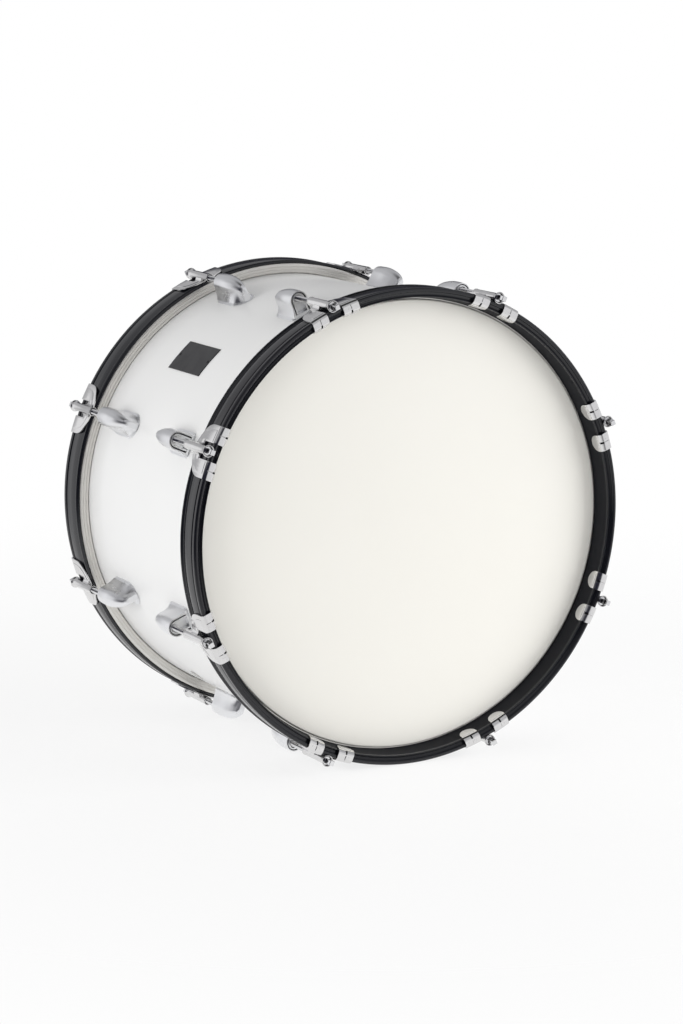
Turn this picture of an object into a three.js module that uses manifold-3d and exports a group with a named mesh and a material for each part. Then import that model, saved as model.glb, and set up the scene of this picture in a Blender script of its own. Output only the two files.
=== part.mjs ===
import * as THREE from "three";
import { mergeVertices } from "three/addons/utils/BufferGeometryUtils.js";
import Module from "manifold-3d";

const wasm = await Module();
wasm.setup();

// Marching bass drum in millimetres, +Z up. Its axis is Y, the front head faces -Y, and the
// origin is the middle of the shell. "Reach" is the distance from the middle plane along Y,
// "depth" is the distance back from a hoop's lip, and radii are measured from the drum's axis.

// Driving sizes of the whole drum
const SHELL_DIAMETER = 508;
const SHELL_DEPTH = 304.8;
const SHELL_WALL = 6;
const STATIONS = 8;
const FIT = 0.3;
const OVERRUN = 5;

// Rings are built as even polygons with one flat facet straight down
const FACETS = 48;
const ROD_SIDES = 8;
const SCREW_SIDES = 6;
const END_STEPS = 6;
const TONGUE_STEPS = 4;
const FLAT_TOLERANCE = 0.01;

// Shell edges
const EDGE_LAND = 0.8;
const EDGE_OUTER_BEVEL = 1.2;

// Drum heads: a stretched film whose collar is tucked round a ring
const FILM = 0.25;
const COLLAR_GAP = 0.45;
const FILM_ROUND = 1.2;
const HOOK_RADIAL = 9;

// Flesh hoops
const FLESH_RADIAL = 11;
const FLESH_HEIGHT = 10.7;
const FLESH_DROP = 1.9;
const FLESH_CHAMFER = 0.8;

// Counter hoops
const HOOP_DEPTH = 38;
const HOOP_LIP_REACH = 24.4;
const HOOP_SKIRT_WALL = 3.7;
const HOOP_LIP_ROUND = 3.7;
const HOOP_LIP_LAND = 1.4;
const HOOP_STEP = 2.5;
const HOOP_LEAN = 3.5;
const HOOP_RIDGE = 3;
const HOOP_RIDGE_DEPTH = 2.2;
const HOOP_VALLEY_DEPTH = 3.2;
const HOOP_GROOVE = 1.8;
const HOOP_BAND_DROP = 0.5;
const HOOP_LIP_BEAD = 7;
const HOOP_SHELL_BEAD = 7;
const HOOP_GROOVE_WIDTH = 2;
const HOOP_BEAD_LAND = 3.4;

// Tension rods: their axis stands this far outside the hoops
const ROD_STAND = 7.7;
const ROD_RADIUS = 3;
const ROD_TIP_PASS = 4;
const ROD_TIP_ROOM = 1.2;
const ROD_FLANGE_RADIUS = 4.9;
const ROD_FLANGE = 1.6;
const KEY_SIZE = 5.6;
const KEY_LENGTH = 8;

// Claws
const CLAW_SHEET = 1.6;
const CLAW_HALF_WIDTH = 30;
const CLAW_LENGTH = 38.6;
const CLAW_HOOK_GAP = 20;
const CLAW_WINDOW_DEPTH = 21;
const TONGUE_STRAIGHT = 6;
const TONGUE_GAP = 0.39;
const TUBE_RADIUS = 4.8;
const TUBE_BORE = 3.9;
const TUBE_PASS_WING = 12;
const TUBE_PASS_LIP = 0.8;
const CUP_RADIUS = 6.7;
const CUP_DEPTH = 3.4;
const SADDLE_HALF_WIDTH = 5.4;

// Lugs
const LUG_SETBACK = 55.4;
const LUG_LENGTH = 49.5;
const LUG_WIDTH = 29;
const LUG_CORNER = 4;
const LUG_PLATE = 3;
const HOOD_HALF_WIDTH = 10.25;
const HOOD_HEIGHT = 30.7;
const HOOD_WALL = 2.3;
const POCKET_DEPTH = 24;
const POCKET_FLOOR = 4.6;
const NUT_RADIUS = 6.2;
const NUT_LENGTH = 9;
const NUT_SETBACK = 4;
const NUT_BORE = 3.6;
const SCREW_RADIUS = 2.3;
const SCREW_HOLE = 2.8;
const SCREW_HEAD_RADIUS = 5;
const SCREW_HEAD = 3;
const SCREW_INSET = 11;

// Badge plate and air vent
const BADGE_LENGTH = 78.5;
const BADGE_WIDTH = 40;
const BADGE_SHEET = 0.8;
const BADGE_REACH = -10;
const BADGE_TURN = THREE.MathUtils.degToRad(135.5);
const VENT_REACH = -55;
const VENT_FACETS = -17;
const VENT_BARREL = 6;
const VENT_BORE = 3.6;
const VENT_FLANGE_RADIUS = 9;
const VENT_FLANGE = 1.4;
const VENT_SIDES = 12;

// Shares of the claw's half width and length, along one wing from its tube side to its lip side
const WING_SHARES = [[0.2, 0.99], [0.47, 0.91], [0.7, 0.81], [0.88, 0.67], [0.97, 0.5], [1, 0.3]];
// Shares of the hood's length, half width and height, from its open mouth to its nose
const HOOD_SHARES = [
  [0, 1, 1], [0.58, 1, 1], [0.8, 0.87, 0.91], [0.95, 0.55, 0.72], [1, 0.22, 0.5],
];

// Sizes that follow from the ones above
const shellRadius = SHELL_DIAMETER / 2;
const shellReach = SHELL_DEPTH / 2;
const filmReach = shellReach + FIT;
const collarRadius = shellRadius + COLLAR_GAP;
const fleshInnerRadius = collarRadius + FILM + FIT;
const fleshOuterRadius = fleshInnerRadius + FLESH_RADIAL;
const fleshFrontReach = shellReach - FLESH_DROP;
const fleshBackReach = fleshFrontReach - FLESH_HEIGHT;
const hookReach = fleshBackReach - FIT;
const skirtRadius = fleshOuterRadius + FIT;
const hoopRadius = skirtRadius + HOOP_SKIRT_WALL;
const lipTopRadius = hoopRadius - HOOP_LIP_ROUND;
const splitRadius = lipTopRadius - HOOP_LIP_ROUND;
const lipReach = shellReach + HOOP_LIP_REACH;
const shoulderReach = fleshFrontReach + FIT;
const wallFootRadius = fleshInnerRadius + HOOP_STEP;
const wallTopRadius = wallFootRadius + HOOP_LEAN;
const rodAxisRadius = hoopRadius + ROD_STAND;
const clawInnerRadius = hoopRadius + FIT;
const clawOuterRadius = clawInnerRadius + CLAW_SHEET;
const mouthReach = shellReach - LUG_SETBACK;
const facetTurn = (2 * Math.PI) / FACETS;
const facetShare = Math.cos(facetTurn / 2);
const lugSeatRadius = shellRadius * facetShare + FIT;
const innerSeatRadius = (shellRadius - SHELL_WALL) * facetShare - FIT;
const nutReach = mouthReach - NUT_SETBACK;
const rodTipReach = nutReach - NUT_LENGTH - ROD_TIP_PASS;
const cupReach = lipReach + TUBE_PASS_LIP;
const tubeEndReach = lipReach - CLAW_LENGTH - TUBE_PASS_WING;
const stationTurn = (2 * Math.PI) / STATIONS;

// Turns a closed geometry into a solid that can be joined and cut
function solidOf(geometry) {
  geometry.deleteAttribute("normal");
  geometry.deleteAttribute("uv");
  const merged = mergeVertices(geometry);
  const corners = merged.index.array;
  const triangles = [];
  for (let i = 0; i < corners.length; i += 3) {
    const [a, b, c] = corners.slice(i, i + 3);
    if (a !== b && b !== c && c !== a) triangles.push(a, b, c);
  }
  return new wasm.Manifold(new wasm.Mesh({
    numProp: 3,
    vertProperties: Float32Array.from(merged.attributes.position.array),
    triVerts: Uint32Array.from(triangles),
  }));
}

// Spins a profile of [radius, reach] corners round the drum's axis, on the front side
function ring(profile) {
  const points = profile.map(([radius, reach]) => new THREE.Vector2(radius, -reach));
  if (THREE.ShapeUtils.area(points) < 0) points.reverse();
  points.push(points[0].clone());
  return solidOf(new THREE.LatheGeometry(points, FACETS, facetTurn / 2));
}

// Axis letters of the frame in which a piece of hardware is built: radial X, axial Y and
// tangential Z. Each prism's outline is given in the two directions that its length crosses.
const X = new THREE.Vector3(1, 0, 0);
const Y = new THREE.Vector3(0, 1, 0);
const Z = new THREE.Vector3(0, 0, 1);
const TURNS = {
  radial: new THREE.Matrix4().makeBasis(Y, Z, X),
  axial: new THREE.Matrix4().makeBasis(Z, X, Y),
  tangential: new THREE.Matrix4().makeBasis(X, Y, Z),
};

function prism(direction, outline, from, to) {
  const shape = new THREE.Shape(outline.map(([u, v]) => new THREE.Vector2(u, v)));
  const geometry = new THREE.ExtrudeGeometry(shape, { depth: to - from, bevelEnabled: false });
  geometry.translate(0, 0, from);
  geometry.applyMatrix4(TURNS[direction]);
  return solidOf(geometry);
}

// A round bar along Y at the rod's axis, turned so that its flats face the drum
function bar(radius, fromReach, toReach) {
  const length = toReach - fromReach;
  const phase = Math.PI / ROD_SIDES;
  const geometry = new THREE.CylinderGeometry(radius, radius, length, ROD_SIDES, 1, false, phase);
  geometry.translate(rodAxisRadius, -(fromReach + toReach) / 2, 0);
  return solidOf(geometry);
}

// Joins cross-sections with the same number of corners, the first and last closed flat
function loft(sections) {
  const count = sections[0].length;
  const corners = sections.flat(2);
  const triangles = [];
  for (let j = 0; j + 1 < sections.length; j += 1) {
    for (let i = 0; i < count; i += 1) {
      const a = j * count + i;
      const b = j * count + ((i + 1) % count);
      triangles.push(a, b + count, b, a, a + count, b + count);
    }
  }
  const last = (sections.length - 1) * count;
  for (let i = 1; i + 1 < count; i += 1) {
    triangles.push(0, i, i + 1, last, last + i + 1, last + i);
  }
  const geometry = new THREE.BufferGeometry();
  geometry.setAttribute("position", new THREE.Float32BufferAttribute(corners, 3));
  geometry.setIndex(triangles);
  return solidOf(geometry);
}

// Corners of a half ellipse from -90 to +90 degrees round [centre, 0], as [along, across]
function roundEnd(centre, length, halfWidth, steps) {
  return Array.from({ length: steps + 1 }, (_, i) => {
    const turn = -Math.PI / 2 + (Math.PI * i) / steps;
    return [centre + length * Math.cos(turn), halfWidth * Math.sin(turn)];
  });
}

function shellSolid() {
  const inner = shellRadius - SHELL_WALL;
  const land = shellRadius - EDGE_OUTER_BEVEL;
  const bevel = SHELL_WALL - EDGE_OUTER_BEVEL - EDGE_LAND;
  const half = [
    [shellRadius, shellReach - EDGE_OUTER_BEVEL], [land, shellReach],
    [land - EDGE_LAND, shellReach], [inner, shellReach - bevel],
  ];
  const mirrored = half.map(([radius, reach]) => [radius, -reach]).reverse();
  let shell = ring([...half, ...mirrored]);
  for (const side of [1, -1]) {
    for (let i = 0; i < STATIONS; i += 1) {
      for (const reach of screwReaches()) {
        shell = shell.subtract(screwHole(reach * side, (i + 1 / 2) * stationTurn));
      }
    }
  }
  return shell.subtract(ventBore());
}

function screwReaches() {
  return [mouthReach - SCREW_INSET, mouthReach - LUG_LENGTH + SCREW_INSET];
}

function screwHole(reach, turn) {
  const length = SHELL_WALL + OVERRUN;
  const geometry = new THREE.CylinderGeometry(SCREW_HOLE, SCREW_HOLE, length, SCREW_SIDES);
  geometry.rotateZ(Math.PI / 2);
  geometry.translate(shellRadius - SHELL_WALL / 2, -reach, 0);
  geometry.rotateY(-turn);
  return solidOf(geometry);
}

// The vent sits in the middle of one facet, so its flange lies flat on the shell
function ventSpin(profile) {
  const points = profile.map(([radius, height]) => new THREE.Vector2(radius, height));
  if (THREE.ShapeUtils.area(points) < 0) points.reverse();
  points.push(points[0].clone());
  const geometry = new THREE.LatheGeometry(points, VENT_SIDES);
  geometry.rotateZ(-Math.PI / 2);
  geometry.translate(shellRadius * facetShare, -VENT_REACH, 0);
  geometry.rotateY(-VENT_FACETS * facetTurn);
  return solidOf(geometry);
}

function ventBore() {
  const radius = VENT_BARREL + FIT;
  const out = SHELL_WALL + OVERRUN;
  return ventSpin([[0, -out], [radius, -out], [radius, out], [0, out]]);
}

function ventSolid() {
  return ventSpin([
    [VENT_BORE, -SHELL_WALL], [VENT_BARREL, -SHELL_WALL], [VENT_BARREL, FIT],
    [VENT_FLANGE_RADIUS, FIT], [VENT_FLANGE_RADIUS - VENT_FLANGE / 2, FIT + VENT_FLANGE],
    [VENT_BORE, FIT + VENT_FLANGE],
  ]);
}

function badgeSolid() {
  const seat = shellRadius + FIT;
  const band = ring([
    [seat, BADGE_REACH - BADGE_LENGTH], [seat + BADGE_SHEET, BADGE_REACH - BADGE_LENGTH],
    [seat + BADGE_SHEET, BADGE_REACH + BADGE_LENGTH], [seat, BADGE_REACH + BADGE_LENGTH],
  ]);
  const geometry = new THREE.BoxGeometry(SHELL_WALL + OVERRUN, BADGE_LENGTH, BADGE_WIDTH);
  geometry.translate(shellRadius, -BADGE_REACH, 0);
  geometry.rotateY(-BADGE_TURN);
  return band.intersect(solidOf(geometry));
}

// Film, collar down the shell's outside, and the flange tucked round behind the flesh hoop
function headSolid() {
  const outside = collarRadius + FILM;
  return ring([
    [0, filmReach + FILM], [outside - FILM_ROUND, filmReach + FILM],
    [outside, filmReach - FILM_ROUND + FILM], [outside, hookReach], [outside + HOOK_RADIAL, hookReach],
    [outside + HOOK_RADIAL, hookReach - FILM], [collarRadius, hookReach - FILM],
    [collarRadius, filmReach - FILM_ROUND], [collarRadius - FILM_ROUND, filmReach], [0, filmReach],
  ]);
}

function fleshHoopSolid() {
  return ring([
    [fleshInnerRadius, fleshFrontReach], [fleshOuterRadius - FLESH_CHAMFER, fleshFrontReach],
    [fleshOuterRadius, fleshFrontReach - FLESH_CHAMFER], [fleshOuterRadius, fleshBackReach],
    [fleshInnerRadius, fleshBackReach],
  ]);
}

// A hoop's section, given by depth back from its lip: rounded lip, grooved outer band, rolled
// shell-side bead, skirt over the flesh hoop, shoulder that presses on it, leaning inner wall
function hoopSolid() {
  const band = hoopRadius - HOOP_BAND_DROP;
  const groove = hoopRadius - HOOP_GROOVE;
  const beadStart = HOOP_DEPTH - HOOP_SHELL_BEAD;
  const corner = HOOP_LIP_ROUND * (1 - Math.SQRT1_2);
  const profile = [
    [wallTopRadius, HOOP_RIDGE_DEPTH], [wallTopRadius + HOOP_RIDGE, HOOP_VALLEY_DEPTH],
    [lipTopRadius - HOOP_LIP_LAND, corner], [lipTopRadius, 0],
    [hoopRadius - corner, corner], [hoopRadius, HOOP_LIP_ROUND],
    [groove, HOOP_LIP_BEAD], [band, HOOP_LIP_BEAD + HOOP_GROOVE_WIDTH],
    [band, beadStart - HOOP_GROOVE_WIDTH], [groove, beadStart - HOOP_GROOVE_WIDTH / 2],
    [hoopRadius, beadStart + HOOP_GROOVE_WIDTH / 2],
    [hoopRadius, beadStart + HOOP_GROOVE_WIDTH / 2 + HOOP_BEAD_LAND],
    [hoopRadius - HOOP_GROOVE / 2, HOOP_DEPTH], [skirtRadius, HOOP_DEPTH],
    [skirtRadius, lipReach - shoulderReach], [wallFootRadius, lipReach - shoulderReach],
  ];
  return ring(profile.map(([radius, depth]) => [radius, lipReach - depth]));
}

function rodSolid() {
  const seat = cupReach + FIT;
  const profile = [
    [0, rodTipReach], [ROD_RADIUS, rodTipReach], [ROD_RADIUS, seat], [ROD_FLANGE_RADIUS, seat],
    [ROD_FLANGE_RADIUS, seat + ROD_FLANGE], [0, seat + ROD_FLANGE],
  ];
  const points = profile.map(([radius, reach]) => new THREE.Vector2(radius, -reach)).reverse();
  const geometry = new THREE.LatheGeometry(points, ROD_SIDES, Math.PI / ROD_SIDES);
  geometry.translate(rodAxisRadius, 0, 0);
  const half = KEY_SIZE / 2;
  const square = [[-half, -half], [half, -half], [half, half], [-half, half]];
  const outline = square.map(([across, out]) => [across, rodAxisRadius + out]);
  const top = seat + ROD_FLANGE + KEY_LENGTH;
  return solidOf(geometry).add(prism("axial", outline, -top, -seat - ROD_FLANGE / 2));
}

// The claw's bent sheet: down the hoop's outside, round its lip and along its inner wall
function clawSheetRing() {
  const tongueEnd = TONGUE_STRAIGHT + hookWidth() / 2;
  const wallSlope = HOOP_LEAN / (lipReach - shoulderReach - HOOP_RIDGE_DEPTH);
  const wallTop = wallTopRadius - TONGUE_GAP;
  const wallEnd = wallTop - (tongueEnd - HOOP_RIDGE_DEPTH) * wallSlope;
  const inside = [
    [clawInnerRadius, CLAW_LENGTH], [clawInnerRadius, -FIT], [wallTop, -FIT], [wallEnd, tongueEnd],
  ];
  const outside = [
    [wallEnd - CLAW_SHEET, tongueEnd], [wallTop - CLAW_SHEET, 0], [wallTop, -FIT - CLAW_SHEET],
    [lipTopRadius, -FIT - CLAW_SHEET], [clawOuterRadius, -FIT / 2], [clawOuterRadius, CLAW_LENGTH],
  ];
  return ring([...inside, ...outside].map(([radius, depth]) => [radius, lipReach - depth]));
}

function hookWidth() {
  return CLAW_HALF_WIDTH - CLAW_HOOK_GAP / 2;
}

// Both wings of the claw as one outline, [axial, tangential], with the open end at the lip
function wingOutline(shares) {
  const corners = shares.map(([across, along]) => (
    [along * CLAW_LENGTH - lipReach, across * CLAW_HALF_WIDTH]
  ));
  const mouth = -lipReach - OVERRUN;
  const edge = [...corners, [mouth, corners.at(-1)[1]]];
  const mirrored = edge.map(([along, across]) => [along, -across]).reverse();
  return [...edge, ...mirrored];
}

function box(direction, low, high, from, to) {
  const outline = [[low[0], low[1]], [high[0], low[1]], [high[0], high[1]], [low[0], high[1]]];
  return prism(direction, outline, from, to);
}

function clawSolid() {
  const halfGap = CLAW_HOOK_GAP / 2;
  const sheet = clawSheetRing();
  const wings = prism("radial", wingOutline(WING_SHARES), splitRadius, clawOuterRadius + OVERRUN);
  const window = box(
    "radial", [-lipReach - OVERRUN, -halfGap], [CLAW_WINDOW_DEPTH - lipReach, halfGap],
    splitRadius - OVERRUN, clawOuterRadius + OVERRUN,
  );
  let claw = sheet.intersect(wings).subtract(window);
  for (const side of [1, -1]) {
    const centre = side * (halfGap + hookWidth() / 2);
    const tongue = roundEnd(TONGUE_STRAIGHT, hookWidth() / 2, hookWidth() / 2, TONGUE_STEPS);
    const outline = [
      [-OVERRUN, -hookWidth() / 2], ...tongue, [-OVERRUN, hookWidth() / 2],
    ].map(([depth, across]) => [depth - lipReach, across + centre]);
    const hook = prism("radial", outline, wallFootRadius - OVERRUN, splitRadius + FIT);
    claw = claw.add(sheet.intersect(hook));
  }
  return claw.add(clawTube()).subtract(bar(TUBE_BORE, tubeEndReach - OVERRUN, cupReach + OVERRUN));
}

// Sleeve for the rod, its flared cup, and the saddle that joins it to the wings
function clawTube() {
  const saddleBack = lipReach - CLAW_LENGTH * WING_SHARES[0][1];
  const saddle = box(
    "radial", [-lipReach + CLAW_WINDOW_DEPTH, -SADDLE_HALF_WIDTH], [-saddleBack, SADDLE_HALF_WIDTH],
    clawInnerRadius + CLAW_SHEET / 2, rodAxisRadius,
  );
  return bar(TUBE_RADIUS, tubeEndReach, cupReach - CUP_DEPTH / 2)
    .add(bar(CUP_RADIUS, cupReach - CUP_DEPTH, cupReach))
    .add(saddle);
}

// Cross-section of the lug's hood: straight sides and a half-elliptic crown
function hoodSection(reach, halfWidth, height, base) {
  const crown = Math.min(halfWidth, height / 2);
  const arch = roundEnd(base + height - crown, crown, halfWidth, END_STEPS);
  const corners = [[base, -halfWidth], ...arch, [base, halfWidth]];
  return corners.map(([radius, across]) => [radius, -reach, across]);
}

function hood(length, halfWidth, height, base, shares) {
  return loft(shares.map(([along, wide, high]) => (
    hoodSection(mouthReach - length * along, halfWidth * wide, height * high, base)
  )));
}

// The lug's base plate: square-cornered at the mouth, round at the nose
function lugPlate() {
  const halfWidth = LUG_WIDTH / 2;
  const mouth = -mouthReach;
  const nose = mouth + LUG_LENGTH - halfWidth;
  const corners = [
    [mouth + LUG_CORNER, halfWidth], [mouth, halfWidth - LUG_CORNER],
    [mouth, LUG_CORNER - halfWidth], [mouth + LUG_CORNER, -halfWidth],
  ];
  const outline = [...roundEnd(nose, halfWidth, halfWidth, END_STEPS), ...corners];
  return prism("radial", outline, lugSeatRadius, lugSeatRadius + LUG_PLATE);
}

function lugScrew(reach) {
  const top = lugSeatRadius + LUG_PLATE / 2;
  const points = [
    [0, innerSeatRadius - SCREW_HEAD], [SCREW_HEAD_RADIUS, innerSeatRadius - SCREW_HEAD],
    [SCREW_HEAD_RADIUS, innerSeatRadius], [SCREW_RADIUS, innerSeatRadius], [SCREW_RADIUS, top],
    [0, top],
  ].map(([radius, height]) => new THREE.Vector2(radius, height));
  const geometry = new THREE.LatheGeometry([...points, points[0].clone()], SCREW_SIDES);
  geometry.rotateZ(-Math.PI / 2);
  geometry.translate(0, -reach, 0);
  return solidOf(geometry);
}

function lugSolid() {
  const base = lugSeatRadius + LUG_PLATE / 2;
  const height = HOOD_HEIGHT - LUG_PLATE / 2;
  const pocketBase = lugSeatRadius + POCKET_FLOOR;
  const pocketHeight = base + height - HOOD_WALL - pocketBase;
  const pocketShares = [[-OVERRUN / POCKET_DEPTH, 1, 1], [1, 1, 1]];
  const pocketWidth = HOOD_HALF_WIDTH - HOOD_WALL;
  const pocket = hood(POCKET_DEPTH, pocketWidth, pocketHeight, pocketBase, pocketShares);
  let lug = lugPlate().add(hood(LUG_LENGTH, HOOD_HALF_WIDTH, height, base, HOOD_SHARES));
  lug = lug.subtract(pocket).add(bar(NUT_RADIUS, nutReach - NUT_LENGTH, nutReach));
  lug = lug.subtract(bar(NUT_BORE, rodTipReach - ROD_TIP_ROOM, mouthReach + OVERRUN));
  for (const reach of screwReaches()) lug = lug.add(lugScrew(reach));
  return lug;
}

const COLOURS = {
  shell: { color: 0xf2f2f0, roughness: 0.18, metalness: 0 },
  hoop: { color: 0x0c0d12, roughness: 0.2, metalness: 0 },
  head: { color: 0xeeebe0, roughness: 0.55, metalness: 0 },
  flesh: { color: 0xc9cacb, roughness: 0.35, metalness: 1 },
  lug: { color: 0xb9bbbe, roughness: 0.32, metalness: 1 },
  claw: { color: 0xcfd0d2, roughness: 0.25, metalness: 1 },
  rod: { color: 0xdadbdd, roughness: 0.15, metalness: 1 },
  badge: { color: 0x2a2a2b, roughness: 0.4, metalness: 0 },
  vent: { color: 0x8f9092, roughness: 0.3, metalness: 1 },
};

function finish(slot) {
  return new THREE.MeshStandardMaterial(COLOURS[slot]);
}

function mesh(name, solid, slot) {
  const { vertProperties, triVerts } = solid.asOriginal().simplify(FLAT_TOLERANCE).getMesh();
  const geometry = new THREE.BufferGeometry();
  geometry.setAttribute("position", new THREE.BufferAttribute(Float32Array.from(vertProperties), 3));
  geometry.setIndex(new THREE.BufferAttribute(Uint32Array.from(triVerts), 1));
  geometry.computeVertexNormals();
  const made = new THREE.Mesh(geometry, finish(slot));
  made.name = name;
  return made;
}

// Everything on one side of the drum, built as the front side and turned round for the rear
function drumSide(side, pieces) {
  const group = new THREE.Group();
  group.add(mesh(`${side}_hoop`, pieces.hoop, "hoop"));
  group.add(mesh(`${side}_head`, pieces.head, "head"));
  group.add(mesh(`${side}_flesh_hoop`, pieces.flesh, "flesh"));
  for (let i = 0; i < STATIONS; i += 1) {
    const station = new THREE.Group();
    station.rotation.y = -(i + 1 / 2) * stationTurn;
    station.add(mesh(`${side}_lug_${i + 1}`, pieces.lug, "lug"));
    station.add(mesh(`${side}_claw_${i + 1}`, pieces.claw, "claw"));
    station.add(mesh(`${side}_tension_rod_${i + 1}`, pieces.rod, "rod"));
    group.add(station);
  }
  return group;
}

function drum() {
  const pieces = {
    hoop: hoopSolid(),
    head: headSolid(),
    flesh: fleshHoopSolid(),
    lug: lugSolid(),
    claw: clawSolid(),
    rod: rodSolid(),
  };
  const rear = drumSide("rear", pieces);
  rear.rotation.z = Math.PI;
  const whole = new THREE.Group();
  whole.add(mesh("shell", shellSolid(), "shell"), mesh("badge_plate", badgeSolid(), "badge"));
  whole.add(mesh("air_vent", ventSolid(), "vent"), drumSide("front", pieces), rear);
  return whole;
}

export default drum();
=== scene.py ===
"""The looks of the marching bass drum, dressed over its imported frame.

Sizes are in millimetres and become metres where a mesh is made. The drum's axis is Y, its front
head faces -Y, +Z is up and the origin is the middle of the shell. "Out" is the distance from the
drum's axis, "reach" the distance from its middle plane along Y, "across" the distance beside a
station, and "depth" the distance back from a hoop's lip. Every piece is modelled once on the
front side, with its hardware on the +X axis, and copied to its stations.
"""

import math

import bmesh
import bpy
from mathutils import Matrix, Vector

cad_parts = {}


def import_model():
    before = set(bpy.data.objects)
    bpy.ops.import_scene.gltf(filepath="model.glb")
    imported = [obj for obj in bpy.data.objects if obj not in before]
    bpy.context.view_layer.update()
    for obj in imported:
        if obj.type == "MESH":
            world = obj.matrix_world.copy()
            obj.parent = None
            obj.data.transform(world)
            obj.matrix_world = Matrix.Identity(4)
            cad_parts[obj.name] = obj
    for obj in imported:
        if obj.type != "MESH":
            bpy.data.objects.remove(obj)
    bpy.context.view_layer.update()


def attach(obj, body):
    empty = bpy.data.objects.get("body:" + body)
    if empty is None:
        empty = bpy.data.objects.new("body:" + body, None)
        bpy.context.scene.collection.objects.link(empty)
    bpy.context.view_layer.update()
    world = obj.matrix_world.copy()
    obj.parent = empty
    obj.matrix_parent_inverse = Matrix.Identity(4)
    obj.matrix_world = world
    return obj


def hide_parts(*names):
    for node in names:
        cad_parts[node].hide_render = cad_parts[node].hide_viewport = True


MM = 0.001
STATIONS = 8
SIDES = ("front", "rear")

# The drum's own sizes, as its solids have them
SHELL_RADIUS = 254.0
SHELL_WALL = 6.0
SHELL_INSIDE = SHELL_RADIUS - SHELL_WALL
SHELL_REACH = 152.4
HOOP_RADIUS = 270.0
LIP_REACH = 176.8
LUG_MOUTH = 97.0
LUG_SEAT = 253.4
SCREW_REACHES = (86.0, 58.5)
VENT_TURN = -127.5
VENT_REACH = -55.0
BADGE_TURN = 135.5
BADGE_REACH = -10.0
FLOOR_HEIGHT = -HOOP_RADIUS * MM

# Axis of the rods, and the reach of the seat in each claw that a rod's collar bears on
ROD_AXIS = 275.2
KEY_SEAT = 174.0

# How finely round things are divided, and what counts as one point
SHELL_STEPS = 384
HOOP_STEPS = 288
BAR_STEPS = 40
SMALL_STEPS = 24
SMOOTH_ANGLE = 32
MERGE = MM / 500
SAME_PLACE = MM / 1000

# How far a cutter goes past what it cuts
OVERRUN = 4.0

# Photograph's camera: angles in degrees, distance in metres, lens in millimetres
CAMERA_AZIMUTH = 28.348
CAMERA_ELEVATION = 10.368
CAMERA_ROLL = 0.7106
CAMERA_DISTANCE = 3.61549
CAMERA_LENS = 109.25
CAMERA_SENSOR = 36.0
CAMERA_SHIFT = (0.00337, -0.00869)
CAMERA_FAR = 50.0


# Mesh tools


def leave_edit():
    """Goes back to object mode with nothing selected."""
    if bpy.context.mode != "OBJECT":
        bpy.ops.object.mode_set(mode="OBJECT")
    bpy.ops.object.select_all(action="DESELECT")


def take(piece):
    """Makes one object the only selected and active one."""
    leave_edit()
    piece.select_set(True)
    bpy.context.view_layer.objects.active = piece


def pick(kind, test):
    """In edit mode, selects the verts or edges that pass a test and nothing else."""
    bpy.ops.mesh.select_mode(type={"verts": "VERT", "edges": "EDGE"}[kind])
    bpy.ops.mesh.select_all(action="DESELECT")
    mesh = bmesh.from_edit_mesh(bpy.context.object.data)
    for part in getattr(mesh, kind):
        if test(part):
            part.select_set(True)
    mesh.select_flush_mode()
    bmesh.update_edit_mesh(bpy.context.object.data)


def at(radius, reach, turn=0.0):
    """A point in metres, from a radius and a turn round the drum's axis and a reach."""
    angle = math.radians(turn)
    return Vector((radius * math.cos(angle), -reach, radius * math.sin(angle))) * MM


def spot(out, reach, across):
    """A point in metres at or beside the station on the +X axis."""
    return Vector((out, -reach, across)) * MM


def draw(name, points):
    """Draws a chain of edges through points, starting from a plane merged to one point."""
    leave_edit()
    bpy.ops.mesh.primitive_plane_add(size=MM)
    piece = bpy.context.object
    piece.name = name
    bpy.ops.object.mode_set(mode="EDIT")
    bpy.ops.mesh.select_mode(type="VERT")
    bpy.ops.mesh.select_all(action="SELECT")
    bpy.ops.mesh.merge(type="CENTER")
    bpy.ops.transform.translate(value=points[0])
    for here, there in zip(points, points[1:]):
        bpy.ops.mesh.extrude_region_move(TRANSFORM_OT_translate={"value": there - here})
    return piece


def close_chain():
    """Joins the two ends of the drawn chain with an edge."""
    pick("verts", lambda vert: len(vert.link_edges) == 1)
    bpy.ops.mesh.edge_face_add()


def spin(steps, centre=(0, 0, 0), axis=(0, 1, 0), degrees=360):
    """Spins the drawn chain, round the drum's axis unless another is given."""
    bpy.ops.mesh.select_all(action="SELECT")
    bpy.ops.mesh.spin(steps=steps, angle=math.radians(degrees), center=centre, axis=axis)


def fill_ends():
    """Merges doubles and closes what is open."""
    bpy.ops.mesh.select_all(action="SELECT")
    bpy.ops.mesh.remove_doubles(threshold=MERGE)
    bpy.ops.mesh.fill_holes(sides=0)


def smooth(angle=SMOOTH_ANGLE):
    """Smooths the active piece where it bends less than an angle in degrees."""
    bpy.ops.object.shade_smooth_by_angle(angle=math.radians(angle))


def tidy_mesh(angle=SMOOTH_ANGLE):
    """Merges doubles, points every face outwards, leaves edit mode and smooths."""
    bpy.ops.mesh.select_all(action="SELECT")
    bpy.ops.mesh.remove_doubles(threshold=MERGE)
    bpy.ops.mesh.normals_make_consistent(inside=False)
    bpy.ops.object.mode_set(mode="OBJECT")
    smooth(angle)


def ring(name, section, steps, open_on_axis=False):
    """Spins a section of (radius, reach) round the drum's axis."""
    piece = draw(name, [at(radius, reach) for radius, reach in section])
    if not open_on_axis:
        close_chain()
    spin(steps)
    tidy_mesh()
    return piece


def lathe(name, section, centre, along, out, steps, open_on_axis):
    """Spins a section of (radius, height) round the line through a centre along a direction."""
    points = [centre + (along * height + out * radius) * MM for radius, height in section]
    piece = draw(name, points)
    if not open_on_axis:
        close_chain()
    spin(steps, centre, along)
    tidy_mesh()
    return piece


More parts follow.
